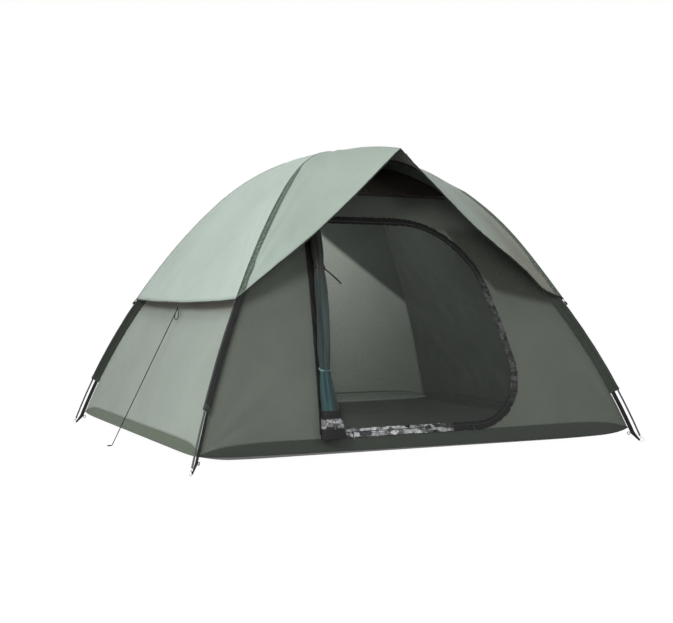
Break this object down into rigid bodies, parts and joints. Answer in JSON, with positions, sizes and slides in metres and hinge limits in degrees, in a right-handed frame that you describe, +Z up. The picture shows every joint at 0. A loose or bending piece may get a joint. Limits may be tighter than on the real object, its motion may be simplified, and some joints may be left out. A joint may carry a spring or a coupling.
{
  "type": "dome tent",
  "caption": "Small dome tent: crossing flexible poles in sleeves, a zipped mesh front door, a rolled cloth door, and a half-height rain fly with a ridge pole.",
  "frame": {"origin": "on the ground, below the crossing of the poles", "axes": "+X to the right along the front, +Y to the rear, +Z up; the door faces -Y"},
  "size_m": [2.1891, 1.865, 1.3508],
  "materials": {
    "fly_cloth": "smooth coated polyester, light sage",
    "fly_front_cloth": "smooth coated polyester, light sage",
    "side_cloth": "matt woven polyester, sage",
    "front_cloth": "matt woven polyester, dark grey-green",
    "groundsheet_cloth": "coated polyester, dark olive",
    "sleeve_cloth": "matt woven polyester, dark green",
    "mesh": "fine insect mesh, dark grey",
    "webbing": "woven polypropylene webbing, black",
    "tie_tape": "soft woven tape, grey teal",
    "hem_tape": "folded cloth hem with stitching",
    "binding": "bound edge, dark green",
    "zip_tape": "coated zip tape with a coil, black",
    "zip_metal": "die-cast slider, black",
    "cord": "braided cord, black",
    "glass_fibre": "wrapped glass-fibre rod, dark grey",
    "steel": "zinc-plated steel",
    "black_plastic": "moulded plastic, black"
  },
  "bodies": {
    "tent": {"groundsheet": "groundsheet_cloth", "front_wall": "front_cloth", "rear_wall": "front_cloth", "left_wall": "side_cloth", "right_wall": "side_cloth", "roof_mesh": "mesh", "sleeve_front_left": "sleeve_cloth", "sleeve_front_right": "sleeve_cloth", "sleeve_rear_left": "sleeve_cloth", "sleeve_rear_right": "sleeve_cloth", "strap_front_left": "webbing", "strap_front_right": "webbing", "strap_rear_left": "webbing", "strap_rear_right": "webbing", "corner_rings": "steel", "tip_pins": "steel", "peg_loops": "cord", "pole_a": "glass_fibre", "pole_a_ferrules": "steel", "pole_a_shock_cord": "cord", "pole_b": "glass_fibre", "pole_b_ferrules": "steel", "pole_b_shock_cord": "cord", "crossing_tie": "webbing", "lantern_loop": "webbing", "door_zip_wall_tape": "zip_tape", "mesh_sewn_strip": "mesh", "rolled_door": "front_cloth", "upper_door_tie": "webbing", "lower_door_tie": "tie_tape"},
    "mesh_door": {"mesh_door_panel": "mesh", "door_zip_mesh_tape": "zip_tape"},
    "slider_left": {"zip_slider_left": "zip_metal"},
    "pull_left": {"zip_pull_left": "black_plastic"},
    "slider_right": {"zip_slider_right": "zip_metal"},
    "pull_right": {"zip_pull_right": "black_plastic"},
    "fly": {"fly_left_panel": "fly_cloth", "fly_right_panel": "fly_cloth", "fly_front_left_panel": "fly_front_cloth", "fly_front_right_panel": "fly_front_cloth", "fly_rear_left_panel": "fly_front_cloth", "fly_rear_right_panel": "fly_front_cloth", "fly_crown_patch": "fly_cloth", "fly_left_hem": "hem_tape", "fly_right_hem": "hem_tape", "brow_binding_front": "binding", "brow_binding_rear": "binding", "ridge_pole": "glass_fibre", "ridge_ferrules": "steel", "ridge_end_caps": "black_plastic", "ridge_loops": "hem_tape", "brow_pockets": "webbing", "fly_toggles": "black_plastic", "fly_corner_loops": "cord", "guy_loop": "cord", "guyline": "cord", "guyline_end_loop": "cord"}
  },
  "joints": [
    {"name": "fly_lift", "type": "slide", "parent": "tent", "child": "fly", "axis": [0, 0, 1], "range_m": [0, 0.85]},
    {"name": "mesh_door_swing", "type": "hinge", "parent": "tent", "child": "mesh_door", "pos_m": [-0.37, -0.67855, 0.55656], "axis": [-0.071, -0.4334, -0.8984], "range_deg": [0, 45]},
    {"name": "zip_left_slide", "type": "slide", "parent": "tent", "child": "slider_left", "axis": [1, 0, 0], "range_m": [0, 0.27]},
    {"name": "zip_right_slide", "type": "slide", "parent": "tent", "child": "slider_right", "axis": [-1, 0, 0], "range_m": [0, 0.25]},
    {"name": "pull_left_swing", "type": "hinge", "parent": "slider_left", "child": "pull_left", "pos_m": [-0.372, -0.87511, 0.11432], "axis": [-1, 0, 0], "range_deg": [0, 150]},
    {"name": "pull_right_swing", "type": "hinge", "parent": "slider_right", "child": "pull_right", "pos_m": [0.19, -0.87511, 0.11432], "axis": [-1, 0, 0], "range_deg": [0, 150]}
  ]
}
